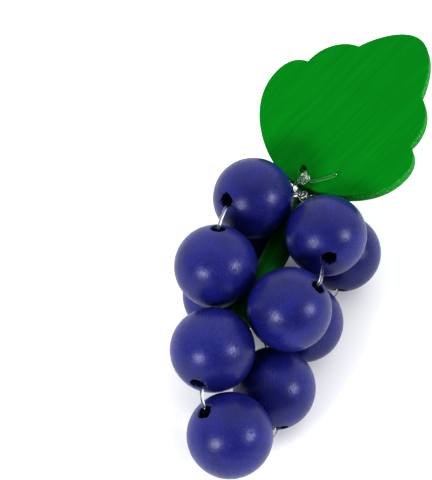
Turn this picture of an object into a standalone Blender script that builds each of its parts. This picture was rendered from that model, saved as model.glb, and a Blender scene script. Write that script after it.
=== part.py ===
"""A wooden toy bunch of grapes, lying down: beads strung round a stem on nylon line, with a leaf tied on.

Two loops of line start at a knot on top of the stem. The front loop carries the seven beads that lie
uppermost, the back loop the four that lie under the stem. The leaf lies on the stem's top end, held by
its own short tie. Lengths are written in millimetres and scaled to metres where they are used.
"""
from math import asin, cos, hypot, pi, radians, sin, sqrt

import bmesh
import bpy
from mathutils import Euler, Vector

MM = 0.001
GAP = 0.3                     # left between pieces that touch
MERGE = 0.00001               # metres

BEAD_DIAMETER = 25.0
BORE_DIAMETER = 4.0
RIM_WEAR = 0.5                # width of the worn edge round each bore mouth
BEAD_STEPS = 24
BEAD_ARC_STEPS = 10

LINE_DIAMETER = 1.0
LINE_STEPS = 2                # tube points between two points of a route
LINE_HELD_AT = (-1.06, -0.6, 0.6, 1.06)   # shares of a bead's radius, along its bore

STEM_DIAMETER = 8.0
STEM_LOW_END = Vector((7.3, -38.7, 24.2))
STEM_TOP_END = Vector((30.1, 10.2, 24.8))
STEM_EASE = 0.8
STEM_HOLE_DIAMETER = 3.0
STEM_HOLE = Vector((27.2, 4.0))

LEAF_THICKNESS = 4.5
LEAF_EASE = 0.6
LEAF_PLACE = Vector((26.0, 13.6, 33.6))   # middle of the leaf, level with its hole
LEAF_HEADING = radians(40.5)              # from +X towards +Y
LEAF_RISE = radians(22.0)                 # the tip is the high end
LEAF_HOLE = Vector((0.0, -3.0, 0.0))      # in the leaf's own axes
LEAF_HOLE_DIAMETER = 2.4

STEM_KNOT_PLACE = Vector((27.2, 4.0, 30.9))
STEM_KNOT_SIZE = Vector((3.4, 3.0, 3.4))
LEAF_KNOT_RAISED = 4.2                    # above the middle of the leaf's thickness
LEAF_KNOT_PLACE = Vector((-2.2, -6.4, LEAF_KNOT_RAISED))
LEAF_KNOT_SIZE = Vector((4.0, 3.6, 3.2))

# The beads in the order of the line, with the plan position of each and the way the line runs through it.
FRONT_BEADS = {
    "front_bead_1": ((11.5, -2.0), (-0.7, -0.5, 0.55)),
    "front_bead_2": ((0.0, -27.5), (-0.05, -0.5, -0.85)),
    "front_bead_3": ((-1.0, -52.0), (-0.35, -0.95, 0.0)),
    "front_bead_4": ((4.0, -75.0), (0.6, -0.2, -0.8)),
    "front_bead_5": ((17.5, -55.0), (-0.15, 0.95, 0.3)),
    "front_bead_6": ((21.5, -41.5), (0.65, 0.15, 0.75)),
    "front_bead_7": ((33.5, -14.5), (0.0, 0.95, -0.35)),
}
BACK_BEADS = {
    "back_bead_1": ((12.8, 3.0), (-0.9, -0.35, -0.25)),
    "back_bead_2": ((2.0, -21.5), (0.4, -0.9, 0.0)),
    "back_bead_3": ((27.0, -31.5), (0.7, 0.7, 0.0)),
    "back_bead_4": ((40.5, -5.0), (0.1, 0.9, 0.45)),
}
# Beads are laid down in this order, each coming to rest on the table, the stem and those before it.
LAYING_ORDER = (
    "back_bead_1", "back_bead_2", "back_bead_3", "back_bead_4", "front_bead_5",
    "front_bead_4", "front_bead_3", "front_bead_6", "front_bead_2", "front_bead_1", "front_bead_7",
)

# Half of the leaf's outline from base to tip, in its own axes: (place, handle before, handle after).
LEAF_HALF_OUTLINE = (
    ((-5.3, 0.0), (-5.3, -12.0), (-5.3, 12.0)),
    ((18.5, 29.0), (5.0, 29.0), (24.0, 29.2)),
    ((27.8, 23.3), (26.6, 26.6), (34.5, 23.8)),
    ((42.0, 14.0), (40.6, 19.4), (47.0, 12.2)),
    ((56.2, 0.0), (56.2, 6.8), (56.2, -6.8)),
)
LEAF_CURVE_STEPS = 7


def clear_scene():
    for item in list(bpy.data.objects):
        bpy.data.objects.remove(item, do_unlink=True)


def new_collection(name):
    collection = bpy.data.collections.new(name)
    bpy.context.scene.collection.children.link(collection)
    return collection


def paint(name, colour, roughness, transmission=0.0):
    material = bpy.data.materials.new(name)
    material.use_nodes = True
    shader = material.node_tree.nodes["Principled BSDF"]
    shader.inputs["Base Color"].default_value = (*colour, 1.0)
    shader.inputs["Roughness"].default_value = roughness
    shader.inputs["Metallic"].default_value = 0.0
    shader.inputs["Transmission Weight"].default_value = transmission
    return material


def add_part(name, data, collection, material):
    part = bpy.data.objects.new(name, data)
    collection.objects.link(part)
    if not data.materials:
        data.materials.append(material)
    return part


def add_cutter(name, diameter, length, place, rotation, collection):
    mesh = bpy.data.meshes.new(name)
    build = bmesh.new()
    bmesh.ops.create_cone(build, cap_ends=True, segments=16, radius1=diameter / 2 * MM,
                          radius2=diameter / 2 * MM, depth=length * MM)
    build.to_mesh(mesh)
    build.free()
    cutter = bpy.data.objects.new(name, mesh)
    collection.objects.link(cutter)
    cutter.location = place * MM
    cutter.rotation_mode = "QUATERNION"
    cutter.rotation_quaternion = rotation
    cutter.hide_render = True
    cutter.display_type = "WIRE"
    return cutter


def cut(part, cutter):
    hole = part.modifiers.new("hole", "BOOLEAN")
    hole.operation = "DIFFERENCE"
    hole.solver = "EXACT"
    hole.object = cutter


def smooth_shade(mesh):
    mesh.shade_smooth()
    mesh.set_sharp_from_angle(angle=radians(35.0))


def stem_height_for(x, y):
    """Height at which a bead at this plan position clears the stem, or the table if it is beside it."""
    along = (STEM_TOP_END - STEM_LOW_END).xy
    offset = Vector((x, y)) - STEM_LOW_END.xy
    share = offset.dot(along) / along.length_squared
    sideways = abs(offset.cross(along)) / along.length
    reach = (BEAD_DIAMETER + STEM_DIAMETER) / 2 + GAP
    if not 0.0 <= share <= 1.0 or sideways >= reach:
        return BEAD_DIAMETER / 2
    axis_height = STEM_LOW_END.z + share * (STEM_TOP_END.z - STEM_LOW_END.z)
    return axis_height + sqrt(reach ** 2 - sideways ** 2)


def lay_beads():
    """Centre of each bead, let down at its plan position until it rests on what lies below."""
    plan = {**FRONT_BEADS, **BACK_BEADS}
    centres = {}
    for name in LAYING_ORDER:
        x, y = plan[name][0]
        on_table = name.startswith("back") or name == "front_bead_5"
        height = BEAD_DIAMETER / 2 if on_table else stem_height_for(x, y)
        for other in centres.values():
            apart = hypot(x - other.x, y - other.y)
            reach = BEAD_DIAMETER + GAP
            if apart < reach:
                height = max(height, other.z + sqrt(reach ** 2 - apart ** 2))
        centres[name] = Vector((x, y, height))
    return centres


def bead_mesh():
    """Closed outline of one side of a drilled ball: down the outside and up the wall of the bore."""
    ball = BEAD_DIAMETER / 2
    bore = BORE_DIAMETER / 2
    start = asin((bore + RIM_WEAR) / ball)
    wall = ball * cos(start) - RIM_WEAR
    outline = []
    for step in range(BEAD_ARC_STEPS + 1):
        angle = start + (pi - 2 * start) * step / BEAD_ARC_STEPS
        outline.append((ball * sin(angle), ball * cos(angle)))
    outline.append((bore, -wall))
    outline.append((bore, wall))
    mesh = bpy.data.meshes.new("bead")
    corners = [(x * MM, 0.0, z * MM) for x, z in outline]
    edges = [(index, (index + 1) % len(corners)) for index in range(len(corners))]
    mesh.from_pydata(corners, edges, [])
    return mesh


def add_bead(name, mesh, centre, way, collection, material):
    bead = add_part(name, mesh, collection, material)
    turn = bead.modifiers.new("turn", "SCREW")
    turn.axis = "Z"
    turn.steps = BEAD_STEPS
    turn.render_steps = BEAD_STEPS
    turn.use_merge_vertices = True
    turn.merge_threshold = MERGE
    turn.use_smooth_shade = True
    bead.location = centre * MM
    bead.rotation_mode = "QUATERNION"
    bead.rotation_quaternion = Vector(way).to_track_quat("Z", "Y")


def add_stem(collection, cutters, material):
    along = STEM_TOP_END - STEM_LOW_END
    mesh = bpy.data.meshes.new("stem")
    build = bmesh.new()
    bmesh.ops.create_cone(build, cap_ends=True, segments=BEAD_STEPS, radius1=STEM_DIAMETER / 2 * MM,
                          radius2=STEM_DIAMETER / 2 * MM, depth=along.length * MM)
    build.to_mesh(mesh)
    build.free()
    smooth_shade(mesh)
    stem = add_part("stem", mesh, collection, material)
    stem.location = (STEM_LOW_END + STEM_TOP_END) / 2 * MM
    stem.rotation_mode = "QUATERNION"
    stem.rotation_quaternion = along.to_track_quat("Z", "Y")
    ease = stem.modifiers.new("eased_ends", "BEVEL")
    ease.width = STEM_EASE * MM
    ease.segments = 2
    ease.limit_method = "ANGLE"
    ease.angle_limit = radians(60.0)
    place = Vector((STEM_HOLE.x, STEM_HOLE.y, STEM_TOP_END.z))
    upright = Euler((0.0, 0.0, 0.0)).to_quaternion()
    cut(stem, add_cutter("stem_hole", STEM_HOLE_DIAMETER, 2 * STEM_DIAMETER, place, upright, cutters))


def leaf_rotation():
    return Euler((0.0, -LEAF_RISE, LEAF_HEADING)).to_quaternion()


def on_leaf(place):
    """A point given in the leaf's own axes, in the bunch's axes."""
    return LEAF_PLACE + leaf_rotation() @ Vector(place)


def leaf_outline():
    """The whole outline, anticlockwise: the half outline and then its mirror image from tip to base."""
    half = list(LEAF_HALF_OUTLINE)
    mirrored = []
    for place, before, after in reversed(half[1:-1]):
        mirrored.append(tuple((x, -y) for x, y in (place, after, before)))
    return half + mirrored


def add_leaf(collection, cutters, material):
    curve = bpy.data.curves.new("leaf_outline", "CURVE")
    curve.dimensions = "2D"
    curve.fill_mode = "BOTH"
    curve.extrude = (LEAF_THICKNESS / 2 - LEAF_EASE) * MM
    curve.bevel_depth = LEAF_EASE * MM
    curve.offset = -LEAF_EASE * MM
    curve.bevel_resolution = 1
    curve.resolution_u = LEAF_CURVE_STEPS
    curve.render_resolution_u = 0
    outline = leaf_outline()
    spline = curve.splines.new("BEZIER")
    spline.bezier_points.add(len(outline) - 1)
    spline.use_cyclic_u = True
    for point, (place, before, after) in zip(spline.bezier_points, outline):
        point.handle_left_type = "FREE"
        point.handle_right_type = "FREE"
        point.co = Vector((*place, 0.0)) * MM
        point.handle_left = Vector((*before, 0.0)) * MM
        point.handle_right = Vector((*after, 0.0)) * MM
    sheet = bpy.data.objects.new("leaf_outline", curve)
    collection.objects.link(sheet)
    sheet.location = LEAF_PLACE * MM
    sheet.rotation_mode = "QUATERNION"
    sheet.rotation_quaternion = leaf_rotation()
    bpy.context.view_layer.update()
    solid = sheet.evaluated_get(bpy.context.evaluated_depsgraph_get())
    mesh = bpy.data.meshes.new_from_object(solid)
    mesh.name = "leaf"
    build = bmesh.new()
    build.from_mesh(mesh)
    bmesh.ops.remove_doubles(build, verts=build.verts, dist=MERGE)
    build.to_mesh(mesh)
    build.free()
    mesh.materials.clear()
    smooth_shade(mesh)
    leaf = add_part("leaf", mesh, collection, material)
    leaf.matrix_world = sheet.matrix_world.copy()
    bpy.data.objects.remove(sheet, do_unlink=True)
    hole = on_leaf(LEAF_HOLE)
    cut(leaf, add_cutter("leaf_hole", LEAF_HOLE_DIAMETER, 3 * LEAF_THICKNESS, hole, leaf_rotation(), cutters))


def smooth_points(route):
    """Points along the smooth curve that passes through every point of a route without swinging wide."""
    ends = [route[0] * 2 - route[1], *route, route[-1] * 2 - route[-2]]
    points = []
    for before, start, stop, after in zip(ends, ends[1:], ends[2:], ends[3:]):
        first, middle, last = (sqrt((b - a).length) for a, b in ((before, start), (start, stop), (stop, after)))
        chord = stop - start
        leave = chord + middle * ((start - before) / first - (stop - before) / (first + middle))
        arrive = chord + middle * ((after - stop) / last - (after - start) / (middle + last))
        for step in range(LINE_STEPS):
            t = step / LINE_STEPS
            square = (3 * chord - 2 * leave - arrive) * t ** 2
            cube = (leave + arrive - 2 * chord) * t ** 3
            points.append(start + leave * t + square + cube)
    return points + [route[-1]]


def add_line(name, route, collection, material):
    curve = bpy.data.curves.new(name, "CURVE")
    curve.dimensions = "3D"
    curve.bevel_depth = LINE_DIAMETER / 2 * MM
    curve.bevel_resolution = 2
    curve.use_fill_caps = True
    curve.render_resolution_u = 0
    points = smooth_points(route)
    spline = curve.splines.new("POLY")
    spline.points.add(len(points) - 1)
    for point, place in zip(spline.points, points):
        point.co = (*(place * MM), 1.0)
    add_part(name, curve, collection, material)


def through_beads(beads, centres):
    """Route of a line through a row of beads: in at one mouth, down the bore, out at the other."""
    route = []
    for name, (_, way) in beads.items():
        half = Vector(way).normalized() * BEAD_DIAMETER / 2
        route += [centres[name] + half * share for share in LINE_HELD_AT]
    return route


def front_route(centres):
    """From the left of the knot, round the seven upper beads, back to its right."""
    start = STEM_KNOT_PLACE + Vector((-STEM_KNOT_SIZE.x / 2 - LINE_DIAMETER, 0.0, 0.0))
    finish = STEM_KNOT_PLACE + Vector((STEM_KNOT_SIZE.x / 2 + 0.6, -1.4, 0.0))
    return [start, *through_beads(FRONT_BEADS, centres), finish]


def back_route(centres):
    """Down through the stem beside itself, round the four lower beads, and up through the stem again."""
    beside = Vector((LINE_DIAMETER / 2 + GAP / 2, 0.0, 0.0))
    top = Vector((*STEM_HOLE, STEM_KNOT_PLACE.z - STEM_KNOT_SIZE.z / 2 - GAP))
    middle = Vector((*STEM_HOLE, STEM_TOP_END.z))
    below = Vector((*STEM_HOLE, STEM_TOP_END.z - STEM_DIAMETER / 2 - GAP))
    down = [top - beside, middle - beside, below - beside]
    up = [below + beside, middle + beside, top + beside]
    return [*down, *through_beads(BACK_BEADS, centres), *up]


def tie_over_edge_route():
    """From the leaf's knot over the base of the leaf to the knot on the stem."""
    return [
        LEAF_KNOT_AT + Vector((-2.4, -1.2, -0.3)),
        LEAF_KNOT_AT + Vector((-3.4, -2.6, -2.0)),
        STEM_KNOT_PLACE + Vector((-2.2, -1.2, 2.6)),
        STEM_KNOT_PLACE + Vector((-1.2, -0.7, 2.1)),
    ]


def tie_under_leaf_route():
    """From the right of the stem's knot, under the leaf past the stem's end, up through the leaf's hole."""
    return [
        STEM_KNOT_PLACE + Vector((2.1, 0.0, -1.2)),
        STEM_KNOT_PLACE + Vector((4.6, 1.4, -1.9)),
        STEM_KNOT_PLACE + Vector((6.3, 6.6, -2.4)),
        on_leaf(LEAF_HOLE + Vector((0.8, -0.4, -4.8))),
        on_leaf(LEAF_HOLE + Vector((0.0, 0.0, -2.4))),
        on_leaf(LEAF_HOLE + Vector((0.0, 0.0, 1.6))),
        on_leaf(LEAF_HOLE + Vector((-0.3, -0.5, 3.4))),
    ]


def tail_route():
    """The cut end of the leaf's tie, lying on the leaf."""
    return [
        on_leaf(LEAF_KNOT_PLACE + Vector((1.4, -2.1, -0.9))),
        on_leaf(LEAF_KNOT_PLACE + Vector((4.2, -3.6, -1.0))),
        on_leaf(LEAF_KNOT_PLACE + Vector((8.2, -6.2, -0.9))),
    ]


LEAF_KNOT_AT = on_leaf(LEAF_KNOT_PLACE)


def add_knot(name, place, size, rotation, collection, material):
    mesh = bpy.data.meshes.new(name)
    build = bmesh.new()
    bmesh.ops.create_uvsphere(build, u_segments=12, v_segments=8, radius=0.5 * MM)
    bmesh.ops.scale(build, vec=size, verts=build.verts)
    build.to_mesh(mesh)
    build.free()
    smooth_shade(mesh)
    knot = add_part(name, mesh, collection, material)
    knot.location = place * MM
    knot.rotation_mode = "QUATERNION"
    knot.rotation_quaternion = rotation


def stand_on_origin(collection, cutters):
    """Move everything so that the origin is under the middle of the bunch, level with its lowest point."""
    bpy.context.view_layer.update()
    ready = bpy.context.evaluated_depsgraph_get()
    corners = []
    for part in collection.objects:
        mesh = part.evaluated_get(ready).to_mesh()
        corners += [part.matrix_world @ vertex.co for vertex in mesh.vertices]
        part.evaluated_get(ready).to_mesh_clear()
    low = Vector([min(corner[axis] for corner in corners) for axis in range(3)])
    high = Vector([max(corner[axis] for corner in corners) for axis in range(3)])
    shift = Vector(((low.x + high.x) / 2, (low.y + high.y) / 2, low.z))
    for item in [*collection.objects, *cutters.objects]:
        item.location -= shift


def main():
    clear_scene()
    parts = new_collection("wooden_grape_bunch")
    cutters = new_collection("cutters")
    blue = paint("bead_paint", (0.020, 0.022, 0.20), 0.35)
    leaf_green = paint("leaf_paint", (0.0, 0.26, 0.012), 0.5)
    stem_green = paint("stem_paint", (0.0, 0.12, 0.01), 0.5)
    nylon = paint("nylon", (0.9, 0.92, 0.92), 0.15, transmission=0.8)

    centres = lay_beads()
    bead = bead_mesh()
    for name, (_, way) in {**FRONT_BEADS, **BACK_BEADS}.items():
        add_bead(name, bead, centres[name], way, parts, blue)
    add_stem(parts, cutters, stem_green)
    add_leaf(parts, cutters, leaf_green)
    add_line("front_line", front_route(centres), parts, nylon)
    add_line("back_line", back_route(centres), parts, nylon)
    add_line("leaf_tie_over", tie_over_edge_route(), parts, nylon)
    add_line("leaf_tie_under", tie_under_leaf_route(), parts, nylon)
    add_line("leaf_tie_tail", tail_route(), parts, nylon)
    level = Euler((0.0, 0.0, 0.0)).to_quaternion()
    add_knot("stem_knot", STEM_KNOT_PLACE, STEM_KNOT_SIZE, level, parts, nylon)
    add_knot("leaf_knot", LEAF_KNOT_AT, LEAF_KNOT_SIZE, leaf_rotation(), parts, nylon)
    stand_on_origin(parts, cutters)


main()
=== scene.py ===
"""Looks of the wooden toy bunch of grapes: stained beads on clear line, a stem and a leaf."""

from math import cos, hypot, pi, radians, sin, sqrt

import bpy
from mathutils import Euler, Matrix, Vector, noise


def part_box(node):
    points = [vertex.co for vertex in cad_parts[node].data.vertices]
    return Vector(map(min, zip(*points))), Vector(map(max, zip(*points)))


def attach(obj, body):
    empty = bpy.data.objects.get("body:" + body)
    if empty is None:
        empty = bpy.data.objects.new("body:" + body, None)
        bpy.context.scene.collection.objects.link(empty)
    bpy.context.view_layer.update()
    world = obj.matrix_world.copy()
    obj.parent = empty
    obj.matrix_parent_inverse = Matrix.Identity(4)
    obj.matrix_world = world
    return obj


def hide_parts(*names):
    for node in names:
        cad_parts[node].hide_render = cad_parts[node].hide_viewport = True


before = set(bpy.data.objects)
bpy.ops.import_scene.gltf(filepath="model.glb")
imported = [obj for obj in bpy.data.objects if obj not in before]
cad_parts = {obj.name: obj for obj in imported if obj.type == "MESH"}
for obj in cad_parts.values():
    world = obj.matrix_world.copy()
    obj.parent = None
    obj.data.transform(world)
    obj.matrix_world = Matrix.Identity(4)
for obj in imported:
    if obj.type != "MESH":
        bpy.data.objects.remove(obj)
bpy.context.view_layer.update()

MM = 0.001

# Beads: a turned ball with a bore, and the way the line runs through each
BALL = 12.5 * MM                      # radius
BORE = 2.0 * MM                       # radius
BEAD_SEGMENTS = 144
BEAD_RINGS = 96
BORE_CUTS = 16
MOUTH = 2.3 * MM                      # the ball's skin stops about this far from the bore's axis
RIM = ((2.30, 12.24), (2.14, 12.15), (2.04, 11.99), (2.0, 11.75))   # radius and height in mm
HAIR = 0.01 * MM                      # room for rounding where points are picked by their place
WELD = 0.001 * MM                     # points nearer than this are merged
FRONT_WAYS = {
    "front_bead_1": (-0.7, -0.5, 0.55),
    "front_bead_2": (-0.05, -0.5, -0.85),
    "front_bead_3": (-0.35, -0.95, 0.0),
    "front_bead_4": (0.6, -0.2, -0.8),
    "front_bead_5": (-0.15, 0.95, 0.3),
    "front_bead_6": (0.65, 0.15, 0.75),
    "front_bead_7": (0.0, 0.95, -0.35),
}
BACK_WAYS = {
    "back_bead_1": (-0.9, -0.35, -0.25),
    "back_bead_2": (0.4, -0.9, 0.0),
    "back_bead_3": (0.7, 0.7, 0.0),
    "back_bead_4": (0.1, 0.9, 0.45),
}
SPIN = radians(47.0)                  # each bead is turned this much more about its bore than the last
FIRST_SEED = 7.3                      # each bead's own wood and wear
SEED_STEP = 31.7
WEAR = 0.06 * MM                      # how far the ball is out of round, and its bumps per metre
WEAR_BUMPS = 90.0
CHIP = 0.75 * MM                      # how deep the drill chipped the mouth, and its bumps per metre
CHIP_BUMPS = 900.0
CHIP_FROM = 11.5 * MM                 # chips lie further out along the bore than this
CHIP_REACH = 3.2 * MM                 # and nearer to its axis than this
CHIP_FADE = 0.8 * MM

# Line
LINE = 0.5 * MM                       # radius
LINE_STEPS = 8                        # points between two stops of its route
INSIDE = 0.45                         # share of a bead's radius where the line lies in its bore
AT_MOUTH = 0.97                       # and where it leaves the mouth
LEAN = 1.35 * MM                      # how far it leans to the rim, towards its next stop on that side
LEAN_INSIDE = 0.4                     # share of that lean left inside the bore
BOW = 0.6 * MM                        # how far the taut line stands off the straight between two mouths
HALF_GAP = 0.65 * MM                  # the back line's two runs lie this far from the cross hole's middle
RETURN_SIDE = Vector((0.0, -1.4, 0.0)) * MM   # from the knot's right end to where the front line ends

# Knots
KNOT_LINE = 0.46 * MM                 # radius of the line where it is pulled tight in a knot
WRAPS = 2.5                           # turns in the knot on the leaf
WRAP_RADIUS = 1.55 * MM
WRAP_HEIGHT = 1.5 * MM
WRAP_PLACES = 60
WRAP_STEPS = 3
WRAP_TURN = Euler((radians(35.0), radians(-15.0), radians(200.0)))
OVERHAND = 0.50 * MM                  # size of the knot on the stem
OVERHAND_PLACES = 120
OVERHAND_TURN = Euler((radians(50.0), 0.0, radians(15.0)))

# Stem
STEM_RADIUS = 4.0 * MM
STEM_RUN = Vector((22.8, 48.9, 0.6)) * MM     # from its end among the beads to its end at the leaf
STEM_SEGMENTS = 72
STEM_EASE = 0.9 * MM
STEM_EASE_STEPS = 5
STEM_EASE_FROM = radians(60.0)        # only sharper edges than this are eased
STEM_HOLE_RADIUS = 1.5 * MM
DRILL_SEGMENTS = 32
SMOOTH_BELOW = radians(40.0)          # flatter edges than this are shaded smooth

# Leaf, in its own axes: +X from its base to its tip
LEAF_THICKNESS = 4.5 * MM
LEAF_EASE = 0.45 * MM
LEAF_EASE_STEPS = 4
LEAF_EASE_FROM = radians(80.0)        # the rims are eased, and the upright edges in the notches aren't
LEAF_WELD = 0.002 * MM
LEAF_FLAT = radians(0.5)              # points on straighter stretches than this are left out
LEAF_TURN = Euler((0.0, radians(-22.0), radians(40.5)))   # its tip is held up, and points to the right
LEAF_HOLE = Vector((0.0, -3.0, 0.0)) * MM
LEAF_HOLE_RADIUS = 1.2 * MM
LEAF_HALF_OUTLINE = (                 # place, handle before, handle after, in mm from base to tip
    ((-5.3, 0.0), (-5.3, -12.0), (-5.3, 12.0)),
    ((18.5, 29.0), (5.0, 29.0), (24.0, 29.2)),
    ((27.8, 23.3), (26.6, 26.6), (34.5, 23.8)),
    ((42.0, 14.0), (40.6, 19.4), (47.0, 12.2)),
    ((56.2, 0.0), (56.2, 6.8), (56.2, -6.8)),
)
LEAF_CURVE_STEPS = 24

# Camera
CAMERA_AIM = Vector((-17.5, 55.0, 0.0)) * MM    # from the middle of front_bead_5
CAMERA_DISTANCE = 0.45
CAMERA_ELEVATION = radians(54.0)
CAMERA_LENS = 104.2
SENSOR = 36.0

# Finishes. Heights of the relief are in mm where MM isn't written, and negative ones are hollows.
BEAD_BLUE = (0.0165, 0.0200, 0.158, 1.0)
BEAD_TONES = (0.76, 1.18)             # share of the blue in dark and in pale wood
PIT_TONE = 0.62
BORE_SHADE_TONE = 0.30                     # painted shade: the blue is darkened in and round the bore, where the stain also lies thicker
PIT_SHARE = 0.22
BEAD_PITS = -0.09
BEAD_SKIN = 0.052
BEAD_STREAKS = 0.034
BEAD_SPECULAR = 0.22
LACQUER = 0.26
LACQUER_ROUGHNESS = 0.25
LEAF_GREEN = (0.0, 0.222, 0.014, 1.0)
LEAF_STREAK = (0.0, 0.180, 0.012, 1.0)
LEAF_GRAIN = (0.07, 2.4, 1.8)
LEAF_ROUGHNESS = 0.5
STEM_GREEN = (0.002, 0.12, 0.010, 1.0)
STEM_STREAK = (0.002, 0.08, 0.008, 1.0)
STEM_GRAIN = (1.4, 1.4, 0.06)
STEM_ROUGHNESS = 0.4
# pale flecks on sawn edges: partly paler end grain, partly painted glints
SAWN_FLECK_AND_GLINT = (0.20, 0.43, 0.20, 1.0)
STAIN_SPECULAR = 0.06
STAIN_STREAKS = 0.030
STAIN_FIBRES = 0.010
STAIN_FLECKS = 0.12
NYLON_TINT = (0.97, 0.98, 0.975, 1.0)
NYLON_IOR = 1.5
NYLON_MARKS = 1800.0                  # per metre
NYLON_RELIEF = 0.02 * MM

# Floor and light
FLOOR_SIZE = 6.0
FLOOR_WHITE = (0.95, 0.95, 0.95, 1.0)
FLOOR_ROUGHNESS = 0.8
FLOOR_SPECULAR = 0.1
SOFTBOX_DISTANCE = 0.9
SOFTBOX_SIZE = 0.24
SOFTBOX_AIM = Vector((0.0, 0.0, 20.0)) * MM
SOFTBOXES = (                         # name, way from the bunch, power
    ("left_softbox", (-0.595, -0.68, 0.41), 4.0),
    ("right_softbox", (0.79, -0.36, 0.50), 3.6),
)
TENT_BRIGHT_SIDE = Vector((0.0, 0.94, 0.34))
TENT_DARK = 0.24
TENT_BRIGHT = 1.25


def middle(node):
    low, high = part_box(node)
    return (low + high) / 2


# ---------------------------------------------------------------- modelling helpers

def start_clean():
    if bpy.context.object and bpy.context.object.mode != "OBJECT":
        bpy.ops.object.mode_set(mode="OBJECT")
    bpy.ops.object.select_all(action="DESELECT")


def select_points(piece, wanted):
    """Leaves the piece in edit mode with only the points that wanted() accepts selected."""
    bpy.ops.object.mode_set(mode="EDIT")
    bpy.ops.mesh.select_mode(type="VERT")
    bpy.ops.mesh.select_all(action="DESELECT")
    bpy.ops.object.mode_set(mode="OBJECT")
    for vertex in piece.data.vertices:
        vertex.select = wanted(vertex.co)
    bpy.ops.object.mode_set(mode="EDIT")


def make_active(piece):
    start_clean()
    bpy.context.view_layer.objects.active = piece
    piece.select_set(True)


def apply_all(piece):
    """Applies the piece's modifiers, then its place, so that its object sits at the origin."""
    make_active(piece)
    for modifier in list(piece.modifiers):
        bpy.ops.object.modifier_apply(modifier=modifier.name)
    bpy.ops.object.transform_apply(location=True, rotation=True, scale=True)


def keep_own_places(piece, name):
    """Stores each point's place in the piece's own axes, in mm, for finishes that follow the wood."""
    own = piece.data.attributes.new(name, "FLOAT_VECTOR", "POINT")
    for vertex, value in zip(piece.data.vertices, own.data):
        value.vector = vertex.co / MM


def keep_number(piece, name, number):
    values = piece.data.attributes.new(name, "FLOAT", "POINT")
    for vertex, value in zip(piece.data.vertices, values.data):
        value.value = number(vertex)


def hand_over(piece, name, slot, material, *nodes):
    piece.name = name
    piece.data.name = name
    piece.data.materials.clear()
    piece.data.materials.append(material)
    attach(piece, "root")
    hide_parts(*nodes)


# ---------------------------------------------------------------- material helpers

def add(tree, kind, settings=None, **inputs):
    """Adds a node. A socket given for an input is wired to it, and anything else becomes its value."""
    node = tree.nodes.new(kind)
    for name, value in (settings or {}).items():
        setattr(node, name, value)
    for name, value in inputs.items():
        plug(tree, node.inputs[name.replace("_", " ")], value)
    return node


def plug(tree, socket, value):
    if isinstance(value, bpy.types.NodeSocket):
        tree.links.new(value, socket)
    else:
        socket.default_value = value


def maths(tree, operation, *values):
    node = tree.nodes.new("ShaderNodeMath")
    node.operation = operation
    for socket, value in zip(node.inputs, values):
        plug(tree, socket, value)
    return node.outputs[0]


def ramp(tree, value, low, high, to_low=0.0, to_high=1.0):
    node = add(tree, "ShaderNodeMapRange", {"interpolation_type": "SMOOTHSTEP"}, Value=value)
    for name, number in (("From Min", low), ("From Max", high), ("To Min", to_low), ("To Max", to_high)):
        node.inputs[name].default_value = number
    return node.outputs["Result"]


def blend(tree, share, first, second, mode="MIX"):
    node = tree.nodes.new("ShaderNodeMix")
    node.data_type = "RGBA"
    node.blend_type = mode
    plug(tree, node.inputs[0], share)
    plug(tree, node.inputs[6], first)
    plug(tree, node.inputs[7], second)
    return node.outputs[2]


def noise_of(tree, places, stretch, detail=3.0, rough=0.55):
    """Noise whose grain has this many bumps per mm along each of the piece's own axes."""
    spread = add(tree, "ShaderNodeMapping", Vector=places, Scale=stretch)
    return add(tree, "ShaderNodeTexNoise", Vector=spread.outputs[0], Scale=1.0, Detail=detail,
               Roughness=rough).outputs[0]


def pits_of(tree, places, stretch, share):
    """Small open pores, 1 inside a pore: this share of the long cells holds one."""
    spread = add(tree, "ShaderNodeMapping", Vector=places, Scale=stretch)
    cells = add(tree, "ShaderNodeTexVoronoi", Vector=spread.outputs[0], Scale=1.0)
    lot = add(tree, "ShaderNodeSeparateColor", Color=cells.outputs["Color"]).outputs[0]
    chosen = maths(tree, "LESS_THAN", lot, share)
    hollow = ramp(tree, cells.outputs["Distance"], 0.10, 0.34, 1.0, 0.0)
    return maths(tree, "MULTIPLY", hollow, chosen)


def new_finish(name):
    material = bpy.data.materials.new(name)
    material.use_nodes = True
    tree = material.node_tree
    return material, tree, tree.nodes["Principled BSDF"]


def moved_places(tree, attribute, seed):
    """The piece's own places, as they are and shifted by its seed, so that no two share the same wood."""
    own = add(tree, "ShaderNodeAttribute", {"attribute_name": attribute})
    blank = add(tree, "ShaderNodeAttribute", {"attribute_name": seed})
    shift = add(tree, "ShaderNodeCombineXYZ", X=blank.outputs["Fac"], Y=blank.outputs["Fac"],
                Z=blank.outputs["Fac"])
    moved = add(tree, "ShaderNodeVectorMath", {"operation": "ADD"})
    tree.links.new(own.outputs["Vector"], moved.inputs[0])
    tree.links.new(shift.outputs[0], moved.inputs[1])
    return own.outputs["Vector"], moved.outputs[0]


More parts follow.
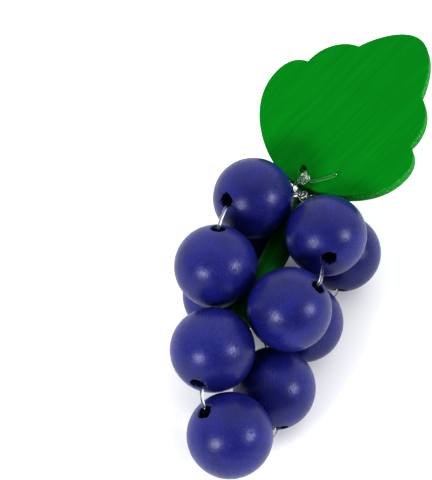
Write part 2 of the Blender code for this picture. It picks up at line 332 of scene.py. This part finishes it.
def bead_paint():
    """Deep blue stain under thin satin lacquer on close-grained wood, with painted shade inside the bore.
    """
    material, tree, shader = new_finish("bead_paint")
    own, wood = moved_places(tree, "turned", "blank")
    axes = add(tree, "ShaderNodeSeparateXYZ", Vector=own)
    streaks = noise_of(tree, wood, (2.2, 2.2, 0.16), 4.0, 0.65)
    blotches = noise_of(tree, wood, (0.12, 0.12, 0.08), 4.0, 0.6)
    skin = noise_of(tree, wood, (2.4, 2.4, 1.5), 4.0, 0.65)
    pits = pits_of(tree, wood, (1.8, 1.8, 0.55), PIT_SHARE)
    off_centre = add(tree, "ShaderNodeMapping", Vector=wood, Scale=(0.55, 0.55, 0.02))
    years = add(tree, "ShaderNodeTexWave", {"wave_type": "RINGS", "rings_direction": "Z"},
                Vector=off_centre.outputs[0], Scale=1.0, Distortion=2.2, Detail=2.0, Detail_Scale=0.5)
    tone = maths(tree, "MULTIPLY", ramp(tree, blotches, 0.3, 0.7, *BEAD_TONES),
                 ramp(tree, streaks, 0.3, 0.7, *BEAD_TONES))
    tone = maths(tree, "MULTIPLY", tone, ramp(tree, years.outputs["Fac"], 0.0, 1.0, 0.90, 1.05))
    tone = maths(tree, "MULTIPLY", tone, ramp(tree, pits, 0.0, 1.0, 1.0, PIT_TONE))
    from_axis = maths(tree, "SQRT", maths(tree, "ADD", maths(tree, "POWER", axes.outputs[0], 2.0),
                                          maths(tree, "POWER", axes.outputs[1], 2.0)))
    shade_reach = maths(tree, "ADD", from_axis, ramp(tree, skin, 0.3, 0.7, -0.36, 0.26))
    # painted shade in the bore's recess: the blue darkens towards the bore's axis, with a ragged edge
    # round the mouth
    tone = maths(tree, "MULTIPLY", tone, ramp(tree, shade_reach, 2.0, 2.45, BORE_SHADE_TONE, 1.0))
    shade = add(tree, "ShaderNodeCombineColor", Red=tone, Green=tone, Blue=tone)
    colour = blend(tree, 1.0, BEAD_BLUE, shade.outputs[0], "MULTIPLY")
    tree.links.new(colour, shader.inputs["Base Color"])
    rough = maths(tree, "ADD", ramp(tree, skin, 0.35, 0.65, 0.24, 0.50),
                  maths(tree, "MULTIPLY", pits, 0.25))
    tree.links.new(rough, shader.inputs["Roughness"])
    height = maths(tree, "MULTIPLY", pits, BEAD_PITS)
    height = maths(tree, "ADD", height, maths(tree, "MULTIPLY", skin, BEAD_SKIN))
    height = maths(tree, "ADD", height, maths(tree, "MULTIPLY", streaks, BEAD_STREAKS))
    relief = add(tree, "ShaderNodeBump", Height=height, Distance=MM, Strength=1.0)
    tree.links.new(relief.outputs[0], shader.inputs["Normal"])
    tree.links.new(relief.outputs[0], shader.inputs["Coat Normal"])
    shader.inputs["Specular IOR Level"].default_value = BEAD_SPECULAR
    shader.inputs["Coat Weight"].default_value = LACQUER
    shader.inputs["Coat Roughness"].default_value = LACQUER_ROUGHNESS
    shader.distribution = "GGX"
    return material


def green_stain(name, attribute, colour, dark, stretch, roughness):
    """Green stain soaked into straight grain: darker streaks, and paler flecks where the wood is sawn,
    partly paler end grain and partly painted glints.
    """
    material, tree, shader = new_finish(name)
    own = add(tree, "ShaderNodeAttribute", {"attribute_name": attribute}).outputs["Vector"]
    sawn = add(tree, "ShaderNodeAttribute", {"attribute_name": "sawn"}).outputs["Fac"]
    streaks = noise_of(tree, own, stretch, 4.0, 0.6)
    broad = noise_of(tree, own, tuple(number * 0.22 for number in stretch), 2.0)
    fibres = noise_of(tree, own, tuple(number * 3.0 for number in stretch), 2.0)
    flecks = noise_of(tree, own, (1.3, 1.3, 2.6), 3.0, 0.7)
    soak = maths(tree, "ADD", maths(tree, "MULTIPLY", ramp(tree, streaks, 0.36, 0.66), 0.6),
                 maths(tree, "MULTIPLY", ramp(tree, broad, 0.35, 0.65), 0.4))
    face = blend(tree, soak, colour, dark)
    # sawn edges get pale flecks: partly paler end grain, partly painted glints
    edge = blend(tree, ramp(tree, flecks, 0.50, 0.70), colour, SAWN_FLECK_AND_GLINT)
    tree.links.new(blend(tree, sawn, face, edge), shader.inputs["Base Color"])
    rough = maths(tree, "ADD", ramp(tree, streaks, 0.3, 0.7, roughness, roughness + 0.1),
                  maths(tree, "MULTIPLY", sawn, 0.1))
    tree.links.new(rough, shader.inputs["Roughness"])
    shader.inputs["Specular IOR Level"].default_value = STAIN_SPECULAR
    shader.distribution = "GGX"
    height = maths(tree, "MULTIPLY", streaks, STAIN_STREAKS)
    height = maths(tree, "ADD", height, maths(tree, "MULTIPLY", fibres, STAIN_FIBRES))
    torn = maths(tree, "MULTIPLY", flecks, sawn)
    height = maths(tree, "ADD", height, maths(tree, "MULTIPLY", torn, STAIN_FLECKS))
    relief = add(tree, "ShaderNodeBump", Height=height, Distance=MM, Strength=1.0)
    tree.links.new(relief.outputs[0], shader.inputs["Normal"])
    return material


def clear_nylon():
    """Monofilament: clear and glossy, with faint marks."""
    material, tree, shader = new_finish("clear_nylon")
    places = add(tree, "ShaderNodeTexCoord").outputs["Object"]
    marks = add(tree, "ShaderNodeTexNoise", Vector=places, Scale=NYLON_MARKS, Detail=2.0)
    tree.links.new(ramp(tree, marks.outputs[0], 0.3, 0.7, 0.02, 0.10), shader.inputs["Roughness"])
    relief = add(tree, "ShaderNodeBump", Height=marks.outputs[0], Distance=NYLON_RELIEF, Strength=1.0)
    tree.links.new(relief.outputs[0], shader.inputs["Normal"])
    shader.inputs["Base Color"].default_value = NYLON_TINT
    shader.inputs["Transmission Weight"].default_value = 1.0
    shader.inputs["IOR"].default_value = NYLON_IOR
    return material


# ---------------------------------------------------------------- beads

def model_bead():
    """A drilled ball about its own +Z: skin, worn rim at each mouth, and the wall of the bore."""
    start_clean()
    bpy.ops.mesh.primitive_uv_sphere_add(segments=BEAD_SEGMENTS, ring_count=BEAD_RINGS, radius=BALL)
    bead = bpy.context.object
    select_points(bead, lambda co: hypot(co.x, co.y) < MOUTH)
    bpy.ops.mesh.delete(type="VERT")
    bpy.ops.object.mode_set(mode="OBJECT")
    ring = min(hypot(vertex.co.x, vertex.co.y) for vertex in bead.data.vertices)
    level = max(vertex.co.z for vertex in bead.data.vertices)
    for side in (1, -1):
        select_points(bead, lambda co: side * co.z > 0 and hypot(co.x, co.y) < ring + HAIR)
        radius, height = ring, level
        for next_radius, next_height in ((r * MM, h * MM) for r, h in RIM):
            bpy.ops.mesh.extrude_edges_indiv()
            shrink = next_radius / radius
            bpy.ops.transform.resize(value=(shrink, shrink, 1.0), center_override=(0.0, 0.0, 0.0))
            bpy.ops.transform.translate(value=(0.0, 0.0, side * (next_height - height)))
            radius, height = next_radius, next_height
    select_points(bead, lambda co: hypot(co.x, co.y) < BORE + HAIR)
    bpy.ops.mesh.bridge_edge_loops(number_cuts=BORE_CUTS)
    bpy.ops.mesh.select_all(action="SELECT")
    bpy.ops.mesh.remove_doubles(threshold=WELD)
    bpy.ops.mesh.normals_make_consistent(inside=False)
    bpy.ops.object.mode_set(mode="OBJECT")
    bpy.ops.object.shade_smooth()
    return bead


def wear_bead(bead, seed):
    """Makes a bead slightly out of round, and chips the mouths of its bore as a drill does."""
    offset = Vector((seed, seed * 0.7, -seed))
    for vertex in bead.data.vertices:
        place = vertex.co.copy()
        from_axis = hypot(place.x, place.y)
        if from_axis > MOUTH:
            vertex.co += place.normalized() * WEAR * noise.noise(place * WEAR_BUMPS + offset)
        if abs(place.z) > CHIP_FROM and from_axis < CHIP_REACH:
            chip = max(0.0, noise.noise(place * CHIP_BUMPS + offset)) * CHIP
            fade = min(1.0, max(0.0, (CHIP_REACH - from_axis) / CHIP_FADE))
            vertex.co.x *= 1.0 + chip * fade / from_axis
            vertex.co.y *= 1.0 + chip * fade / from_axis
            vertex.co.z -= 0.5 * chip * fade * (1 if place.z > 0 else -1)


def add_beads(material):
    pattern = model_bead()
    keep_own_places(pattern, "turned")
    for index, (name, way) in enumerate({**FRONT_WAYS, **BACK_WAYS}.items()):
        bead = pattern.copy()
        bead.data = pattern.data.copy()
        bpy.context.scene.collection.objects.link(bead)
        seed = FIRST_SEED + SEED_STEP * index
        wear_bead(bead, seed)
        keep_number(bead, "blank", lambda vertex: seed)
        spin = Matrix.Rotation(SPIN * index, 4, "Z")
        aim = Vector(way).to_track_quat("Z", "Y").to_matrix().to_4x4()
        bead.matrix_world = Matrix.Translation(middle(name)) @ aim @ spin
        apply_all(bead)
        hand_over(bead, "bead_" + name, "bead_paint", material, name)
    bpy.data.objects.remove(pattern)


# ---------------------------------------------------------------- line and knots

def smooth_points(route, steps):
    """Points along the smooth curve that passes through every point of a route without swinging wide."""
    ends = [route[0] * 2 - route[1], *route, route[-1] * 2 - route[-2]]
    points = []
    for before, start, stop, after in zip(ends, ends[1:], ends[2:], ends[3:]):
        first = sqrt((start - before).length)
        centre = sqrt((stop - start).length)
        last = sqrt((after - stop).length)
        chord = stop - start
        leave = chord + centre * ((start - before) / first - (stop - before) / (first + centre))
        arrive = chord + centre * ((after - stop) / last - (after - start) / (centre + last))
        for step in range(steps):
            t = step / steps
            square = (3 * chord - 2 * leave - arrive) * t ** 2
            cube = (leave + arrive - 2 * chord) * t ** 3
            points.append(start + leave * t + square + cube)
    return points + [route[-1]]


def add_strand(points, radius, closed=False):
    """A round strand through these points, made a closed mesh."""
    start_clean()
    curve = bpy.data.curves.new("strand", "CURVE")
    curve.dimensions = "3D"
    curve.bevel_depth = radius
    curve.bevel_resolution = 4
    curve.use_fill_caps = True
    spline = curve.splines.new("POLY")
    spline.points.add(len(points) - 1)
    spline.use_cyclic_u = closed
    for point, place in zip(spline.points, points):
        point.co = (*place, 1.0)
    strand = bpy.data.objects.new("strand", curve)
    bpy.context.scene.collection.objects.link(strand)
    make_active(strand)
    bpy.ops.object.convert(target="MESH")
    strand = bpy.context.object
    bpy.ops.object.mode_set(mode="EDIT")
    bpy.ops.mesh.select_all(action="SELECT")
    bpy.ops.mesh.remove_doubles(threshold=WELD)
    bpy.ops.mesh.normals_make_consistent(inside=False)
    bpy.ops.object.mode_set(mode="OBJECT")
    bpy.ops.object.shade_smooth()
    return strand


def lean_to(mouth, along, target):
    """How the line leans at a mouth: from its middle towards the rim nearest the target."""
    across = target - mouth
    across -= along * across.dot(along)
    return across.normalized() * min(LEAN, across.length)


def through_beads(ways, start, finish):
    """The line's route through beads: it leans to each mouth's rim and crosses the bore in between."""
    halves = [Vector(way).normalized() * BALL for way in ways.values()]
    centres = [middle(name) for name in ways]
    mouths_in = [centre - half for centre, half in zip(centres, halves)]
    mouths_out = [centre + half for centre, half in zip(centres, halves)]
    route = []
    for index, (centre, half) in enumerate(zip(centres, halves)):
        before = mouths_out[index - 1] if index else start
        after = mouths_in[index + 1] if index + 1 < len(centres) else finish
        along = half.normalized()
        lean_in = lean_to(mouths_in[index], along, before)
        lean_out = lean_to(mouths_out[index], along, after)
        entry = centre - half * AT_MOUTH + lean_in
        if index:
            outward = (halves[index - 1] - half).normalized()
            route.append((route[-1] + entry) / 2 + outward * BOW)
        route += [
            entry,
            centre - half * INSIDE + lean_in * LEAN_INSIDE,
            centre + half * INSIDE + lean_out * LEAN_INSIDE,
            centre + half * AT_MOUTH + lean_out,
        ]
    return route


def add_lines(material):
    knot = middle("stem_knot")
    low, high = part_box("stem_knot")
    half = (high - low) / 2
    start = knot + Vector((-half.x, 0.0, 0.0))
    finish = knot + Vector((half.x, 0.0, 0.0)) + RETURN_SIDE
    route = [start, *through_beads(FRONT_WAYS, start, finish), finish]
    front = add_strand(smooth_points(route, LINE_STEPS), LINE)
    hand_over(front, "front_nylon", "nylon", material, "front_line")
    beside = Vector((HALF_GAP, 0.0, 0.0))
    stem = middle("stem")
    top = Vector((knot.x, knot.y, knot.z - half.z))
    inside = Vector((knot.x, knot.y, stem.z))
    below = Vector((knot.x, knot.y, stem.z - STEM_RADIUS))
    down = [top - beside, inside - beside, below - beside]
    up = [below + beside, inside + beside, top + beside]
    route = [*down, *through_beads(BACK_WAYS, down[-1], up[0]), *up]
    back = add_strand(smooth_points(route, LINE_STEPS), LINE)
    hand_over(back, "back_nylon", "nylon", material, "back_line")


def overhand_points(centre, turn):
    """An overhand knot drawn tight, its ends joined, about its own +Z."""
    points = []
    for step in range(OVERHAND_PLACES):
        t = 2 * pi * step / OVERHAND_PLACES
        place = Vector((sin(t) + 2 * sin(2 * t), cos(t) - 2 * cos(2 * t), -1.15 * sin(3 * t)))
        points.append(centre + turn @ (place * OVERHAND))
    return points


def wrap_points(centre, turn):
    """Wraps of line drawn up against each other, with its end brought back through the middle."""
    points = [centre + turn @ Vector((0.2, -0.1, -1.0)) * MM]
    for step in range(WRAP_PLACES + 1):
        angle = 2 * pi * WRAPS * step / WRAP_PLACES
        level = WRAP_HEIGHT * (step / WRAP_PLACES - 0.5)
        points.append(centre + turn @ Vector((WRAP_RADIUS * cos(angle), WRAP_RADIUS * sin(angle), level)))
    points.append(centre + turn @ Vector((-0.2, 0.3, 0.9)) * MM)
    points.append(centre + turn @ Vector((0.3, 0.1, -0.6)) * MM)
    return points


def add_ties(material, leaf_place):
    """The two knots, the two sides of the tie between them, and the cut end on the leaf."""
    stem_knot = middle("stem_knot")
    leaf_knot = middle("leaf_knot")
    turn = LEAF_TURN.to_quaternion()
    hole = leaf_place + turn @ LEAF_HOLE
    coil = wrap_points(leaf_knot, turn @ WRAP_TURN.to_quaternion())
    wraps = add_strand(smooth_points(coil, WRAP_STEPS), KNOT_LINE)
    hand_over(wraps, "knot_on_leaf", "nylon", material, "leaf_knot")
    knot = add_strand(overhand_points(stem_knot, OVERHAND_TURN.to_quaternion()), KNOT_LINE, closed=True)
    hand_over(knot, "knot_on_stem", "nylon", material, "stem_knot")
    over = [
        leaf_knot + Vector((-1.4, -0.9, 0.0)) * MM,
        leaf_knot + Vector((-3.2, -2.4, -1.8)) * MM,
        stem_knot + Vector((-2.2, -1.2, 2.6)) * MM,
        stem_knot + Vector((-0.9, -0.5, 1.2)) * MM,
    ]
    tie = add_strand(smooth_points(over, LINE_STEPS), LINE)
    hand_over(tie, "tie_over_leaf", "nylon", material, "leaf_tie_over")
    under = [
        stem_knot + Vector((1.2, 0.0, -0.8)) * MM,
        stem_knot + Vector((4.6, 1.4, -1.9)) * MM,
        stem_knot + Vector((6.3, 6.6, -2.4)) * MM,
        hole + turn @ Vector((0.8, -0.4, -4.8)) * MM,
        hole + turn @ Vector((0.0, 0.0, -2.4)) * MM,
        hole + turn @ Vector((0.0, 0.0, 1.6)) * MM,
        hole + turn @ Vector((-0.7, -1.6, 3.6)) * MM,
    ]
    tie = add_strand(smooth_points(under, LINE_STEPS), LINE)
    hand_over(tie, "tie_under_leaf", "nylon", material, "leaf_tie_under")
    tail = [
        leaf_knot + turn @ Vector((0.2, -0.4, -0.2)) * MM,
        leaf_knot + turn @ Vector((0.9, -2.2, -0.9)) * MM,
        leaf_knot + turn @ Vector((4.4, -4.6, -1.0)) * MM,
        leaf_knot + turn @ Vector((7.9, -7.0, -0.9)) * MM,
    ]
    end = add_strand(smooth_points(tail, LINE_STEPS), LINE)
    hand_over(end, "cut_tail", "nylon", material, "leaf_tie_tail")


# ---------------------------------------------------------------- stem and leaf

def add_stem(material):
    """A turned dowel with eased ends and a cross hole for the line."""
    start_clean()
    length = STEM_RUN.length
    bpy.ops.mesh.primitive_cylinder_add(vertices=STEM_SEGMENTS, radius=STEM_RADIUS, depth=length)
    stem = bpy.context.object
    ease = stem.modifiers.new("eased_ends", "BEVEL")
    ease.width = STEM_EASE
    ease.segments = STEM_EASE_STEPS
    ease.limit_method = "ANGLE"
    ease.angle_limit = STEM_EASE_FROM
    stem.rotation_mode = "QUATERNION"
    turn = STEM_RUN.to_track_quat("Z", "Y")
    make_active(stem)
    bpy.ops.object.modifier_apply(modifier=ease.name)
    knot = middle("stem_knot")
    place = middle("stem")
    own_hole = turn.inverted() @ (Vector((knot.x, knot.y, place.z)) - place)
    bpy.ops.mesh.primitive_cylinder_add(vertices=DRILL_SEGMENTS, radius=STEM_HOLE_RADIUS,
                                        depth=4 * STEM_RADIUS)
    drill = bpy.context.object
    drill.rotation_mode = "QUATERNION"
    drill.rotation_quaternion = turn.inverted()
    drill.location = own_hole
    bore = stem.modifiers.new("cross_hole", "BOOLEAN")
    bore.object = drill
    bore.solver = "EXACT"
    bpy.context.view_layer.update()
    make_active(stem)
    bpy.ops.object.modifier_apply(modifier=bore.name)
    bpy.data.objects.remove(drill)
    bpy.ops.object.shade_smooth_by_angle(angle=SMOOTH_BELOW)
    keep_own_places(stem, "dowel")
    keep_number(stem, "sawn", lambda vertex: 1.0 if abs(vertex.co.z) > length / 2 - HAIR else 0.0)
    stem.rotation_quaternion = turn
    stem.location = place
    apply_all(stem)
    hand_over(stem, "stem_dowel", "stem_paint", material, "stem")


def add_leaf(material):
    """A flat leaf sawn from a thin board: scalloped outline, eased edges and a drilled hole.

    Returns the place of its own origin, for what is tied through its hole.
    """
    start_clean()
    outline = list(LEAF_HALF_OUTLINE)
    for place, before, after in reversed(LEAF_HALF_OUTLINE[1:-1]):
        outline.append(tuple((x, -y) for x, y in (place, after, before)))
    bpy.ops.curve.primitive_bezier_circle_add(radius=30 * MM)
    leaf = bpy.context.object
    bpy.ops.object.mode_set(mode="EDIT")
    bpy.ops.curve.select_all(action="SELECT")
    bpy.ops.curve.subdivide(number_cuts=1)
    bpy.ops.object.mode_set(mode="OBJECT")
    leaf.data.dimensions = "2D"
    leaf.data.fill_mode = "BOTH"
    leaf.data.resolution_u = LEAF_CURVE_STEPS
    leaf.data.extrude = LEAF_THICKNESS / 2
    for point, (place, before, after) in zip(leaf.data.splines[0].bezier_points, outline):
        point.handle_left_type = "FREE"
        point.handle_right_type = "FREE"
        point.co = Vector((*place, 0.0)) * MM
        point.handle_left = Vector((*before, 0.0)) * MM
        point.handle_right = Vector((*after, 0.0)) * MM
    make_active(leaf)
    bpy.ops.object.convert(target="MESH")
    leaf = bpy.context.object
    bpy.ops.object.mode_set(mode="EDIT")
    bpy.ops.mesh.select_all(action="SELECT")
    bpy.ops.mesh.remove_doubles(threshold=LEAF_WELD)
    bpy.ops.mesh.dissolve_limited(angle_limit=LEAF_FLAT)
    bpy.ops.mesh.normals_make_consistent(inside=False)
    bpy.ops.object.mode_set(mode="OBJECT")
    bpy.ops.mesh.primitive_cylinder_add(vertices=DRILL_SEGMENTS, radius=LEAF_HOLE_RADIUS,
                                        depth=3 * LEAF_THICKNESS, location=LEAF_HOLE)
    drill = bpy.context.object
    hole = leaf.modifiers.new("hole", "BOOLEAN")
    hole.object = drill
    hole.solver = "EXACT"
    ease = leaf.modifiers.new("eased_edge", "BEVEL")
    ease.width = LEAF_EASE
    ease.segments = LEAF_EASE_STEPS
    ease.limit_method = "ANGLE"
    ease.angle_limit = LEAF_EASE_FROM
    ease.harden_normals = True
    make_active(leaf)
    bpy.ops.object.modifier_apply(modifier=hole.name)
    bpy.data.objects.remove(drill)
    bpy.ops.object.shade_smooth_by_angle(angle=SMOOTH_BELOW)
    bpy.ops.object.modifier_apply(modifier=ease.name)
    keep_own_places(leaf, "board")
    flat = LEAF_THICKNESS / 2
    keep_number(leaf, "sawn", lambda vertex: min(1.0, max(0.0, (flat - abs(vertex.co.z)) / LEAF_EASE)))
    leaf.rotation_mode = "QUATERNION"
    leaf.rotation_quaternion = LEAF_TURN.to_quaternion()
    bpy.context.view_layer.update()
    corners = [leaf.matrix_world @ vertex.co for vertex in leaf.data.vertices]
    low = Vector([min(corner[axis] for corner in corners) for axis in range(3)])
    high = Vector([max(corner[axis] for corner in corners) for axis in range(3)])
    place = middle("leaf") - (low + high) / 2
    leaf.location = place
    apply_all(leaf)
    hand_over(leaf, "leaf_board", "leaf_paint", material, "leaf")
    return place


# ---------------------------------------------------------------- stage

def add_camera():
    data = bpy.data.cameras.new("camera")
    data.sensor_width = SENSOR
    data.lens = CAMERA_LENS
    camera = bpy.data.objects.new("camera", data)
    bpy.context.scene.collection.objects.link(camera)
    aim = middle("front_bead_5") + CAMERA_AIM
    back = Vector((0.0, -cos(CAMERA_ELEVATION), sin(CAMERA_ELEVATION)))
    camera.location = aim + back * CAMERA_DISTANCE
    camera.rotation_euler = (pi / 2 - CAMERA_ELEVATION, 0.0, 0.0)
    bpy.context.scene.camera = camera


def add_floor():
    start_clean()
    bpy.ops.mesh.primitive_plane_add(size=FLOOR_SIZE)
    floor = bpy.context.object
    floor.name = "floor"
    material, _, shader = new_finish("floor")
    shader.inputs["Base Color"].default_value = FLOOR_WHITE
    shader.inputs["Roughness"].default_value = FLOOR_ROUGHNESS
    shader.inputs["Specular IOR Level"].default_value = FLOOR_SPECULAR
    floor.data.materials.append(material)


def add_softbox(name, direction, power):
    """A round softbox that faces the bunch."""
    data = bpy.data.lights.new(name, "AREA")
    data.shape = "DISK"
    data.size = SOFTBOX_SIZE
    data.energy = power
    lamp = bpy.data.objects.new(name, data)
    bpy.context.scene.collection.objects.link(lamp)
    way = Vector(direction).normalized()
    lamp.location = way * SOFTBOX_DISTANCE + SOFTBOX_AIM
    lamp.rotation_euler = way.to_track_quat("Z", "Y").to_euler()


def add_light():
    """A white tent, brighter behind and above, and two softboxes in front."""
    world = bpy.data.worlds.new("tent")
    world.use_nodes = True
    tree = world.node_tree
    shine = tree.nodes["Background"]
    places = add(tree, "ShaderNodeTexCoord").outputs["Generated"]
    facing = add(tree, "ShaderNodeVectorMath", {"operation": "DOT_PRODUCT"})
    tree.links.new(places, facing.inputs[0])
    facing.inputs[1].default_value = TENT_BRIGHT_SIDE
    strength = ramp(tree, facing.outputs["Value"], -0.4, 0.8, TENT_DARK, TENT_BRIGHT)
    tree.links.new(strength, shine.inputs["Strength"])
    shine.inputs["Color"].default_value = (1.0, 1.0, 1.0, 1.0)
    bpy.context.scene.world = world
    for name, direction, power in SOFTBOXES:
        add_softbox(name, direction, power)
    bpy.context.scene.view_settings.view_transform = "Standard"
    bpy.context.scene.view_settings.look = "High Contrast"


start_clean()
add_camera()
blue = bead_paint()
leaf_green = green_stain("leaf_paint", "board", LEAF_GREEN, LEAF_STREAK, LEAF_GRAIN, LEAF_ROUGHNESS)
stem_green = green_stain("stem_paint", "dowel", STEM_GREEN, STEM_STREAK, STEM_GRAIN, STEM_ROUGHNESS)
nylon = clear_nylon()
add_beads(blue)
add_stem(stem_green)
leaf_place = add_leaf(leaf_green)
add_lines(nylon)
add_ties(nylon, leaf_place)
add_floor()
add_light()
